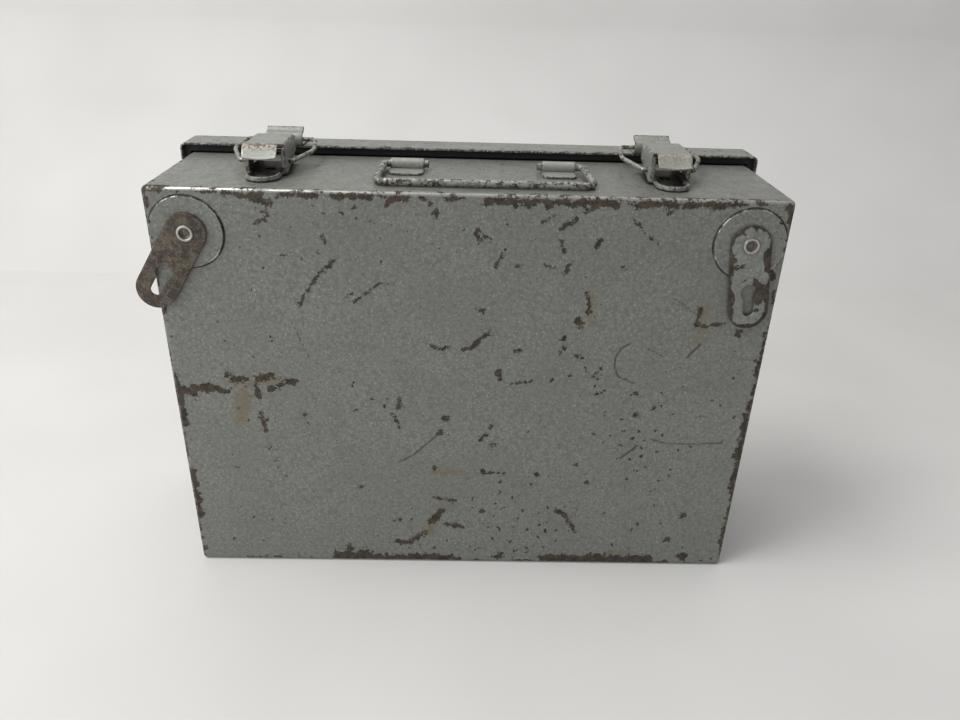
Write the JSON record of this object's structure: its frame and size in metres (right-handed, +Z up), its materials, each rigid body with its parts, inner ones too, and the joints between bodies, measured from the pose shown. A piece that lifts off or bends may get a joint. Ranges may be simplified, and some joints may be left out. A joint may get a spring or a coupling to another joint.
{
  "type": "steel document box",
  "caption": "Shallow rectangular steel document box with a hinged lid, wire draw latches, a loose wire handle and keyhole wall hangers.",
  "frame": {"origin": "on the resting face, halfway between the hanger face and the back of the lid, at mid width", "axes": "+X along the width, +Z up from the resting (hinge) side to the handle, -Y out of the hanger face"},
  "size_m": [0.3452, 0.1075, 0.2545],
  "materials": {
    "body_paint": "grey hammertone enamel, chipped and rusted at the edges",
    "hardware_paint": "grey enamel, worn at the edges",
    "handle_paint": "grey enamel chipped to brown steel",
    "hanger_paint": "grey enamel with brown worn edges",
    "rusted_steel": "rust-brown bare steel",
    "bail_wire": "painted wire worn to metal",
    "rivet_steel": "dull bright steel",
    "plated_steel": "dull plated steel",
    "seal_rubber": "matt black rubber"
  },
  "bodies": {
    "base": {"base_shell": "body_paint", "hinge_base_leaf_left": "plated_steel", "hinge_base_leaf_right": "plated_steel", "hinge_base_rivets": "rivet_steel", "hinge_pin_left": "rivet_steel", "hinge_pin_right": "rivet_steel", "handle_clip_left": "hardware_paint", "handle_clip_right": "hardware_paint", "latch_base_left": "hardware_paint", "latch_base_right": "hardware_paint", "latch_base_rivets_left": "rivet_steel", "latch_base_rivets_right": "rivet_steel", "latch_pin_left": "rivet_steel", "latch_pin_right": "rivet_steel", "hanger_disc_left": "hardware_paint", "hanger_disc_right": "hardware_paint", "hanger_rivet_left": "rivet_steel", "hanger_rivet_right": "rivet_steel", "hanger_washer_left": "plated_steel", "hanger_washer_right": "plated_steel"},
    "lid": {"lid_shell": "body_paint", "lid_seal": "seal_rubber", "hinge_lid_leaf_left": "plated_steel", "hinge_lid_leaf_right": "plated_steel", "hinge_lid_rivets": "rivet_steel", "strike_left": "hardware_paint", "strike_right": "hardware_paint", "strike_rivets_left": "rivet_steel", "strike_rivets_right": "rivet_steel"},
    "handle": {"handle_wire": "handle_paint"},
    "lever_left": {"latch_lever_left": "hardware_paint"},
    "bail_left": {"latch_bail_left": "bail_wire"},
    "hanger_left": {"hanger_left": "rusted_steel"},
    "lever_right": {"latch_lever_right": "hardware_paint"},
    "bail_right": {"latch_bail_right": "bail_wire"},
    "hanger_right": {"hanger_right": "hanger_paint"}
  },
  "joints": [
    {"name": "lid_hinge", "type": "hinge", "parent": "base", "child": "lid", "pos_m": [0, 0.026, 0.004], "axis": [-1, 0, 0], "range_deg": [0, 105]},
    {"name": "handle_hinge", "type": "hinge", "parent": "base", "child": "handle", "pos_m": [0, -0.002, 0.24105], "axis": [-1, 0, 0], "range_deg": [0, 165]},
    {"name": "lever_left_hinge", "type": "hinge", "parent": "base", "child": "lever_left", "pos_m": [-0.1086, -0.001, 0.246], "axis": [-1, 0, 0], "range_deg": [0, 80]},
    {"name": "bail_left_hinge", "type": "hinge", "parent": "lever_left", "child": "bail_left", "pos_m": [-0.1086, -0.0155, 0.244], "axis": [1, 0, 0], "range_deg": [0, 57.6]},
    {"name": "lever_right_hinge", "type": "hinge", "parent": "base", "child": "lever_right", "pos_m": [0.106, -0.001, 0.246], "axis": [-1, 0, 0], "range_deg": [0, 80]},
    {"name": "bail_right_hinge", "type": "hinge", "parent": "lever_right", "child": "bail_right", "pos_m": [0.106, -0.0155, 0.244], "axis": [1, 0, 0], "range_deg": [0, 57.6]},
    {"name": "hanger_left_pivot", "type": "hinge", "parent": "base", "child": "hanger_left", "pos_m": [-0.1449, -0.0538, 0.215], "axis": [0, -1, 0], "continuous": true},
    {"name": "hanger_right_pivot", "type": "hinge", "parent": "base", "child": "hanger_right", "pos_m": [0.1449, -0.0538, 0.215], "axis": [0, -1, 0], "continuous": true}
  ],
  "couplings": [
    {"joint": "bail_left_hinge", "follows": "lever_left_hinge", "ratio": 0.72},
    {"joint": "bail_right_hinge", "follows": "lever_right_hinge", "ratio": 0.72}
  ]
}
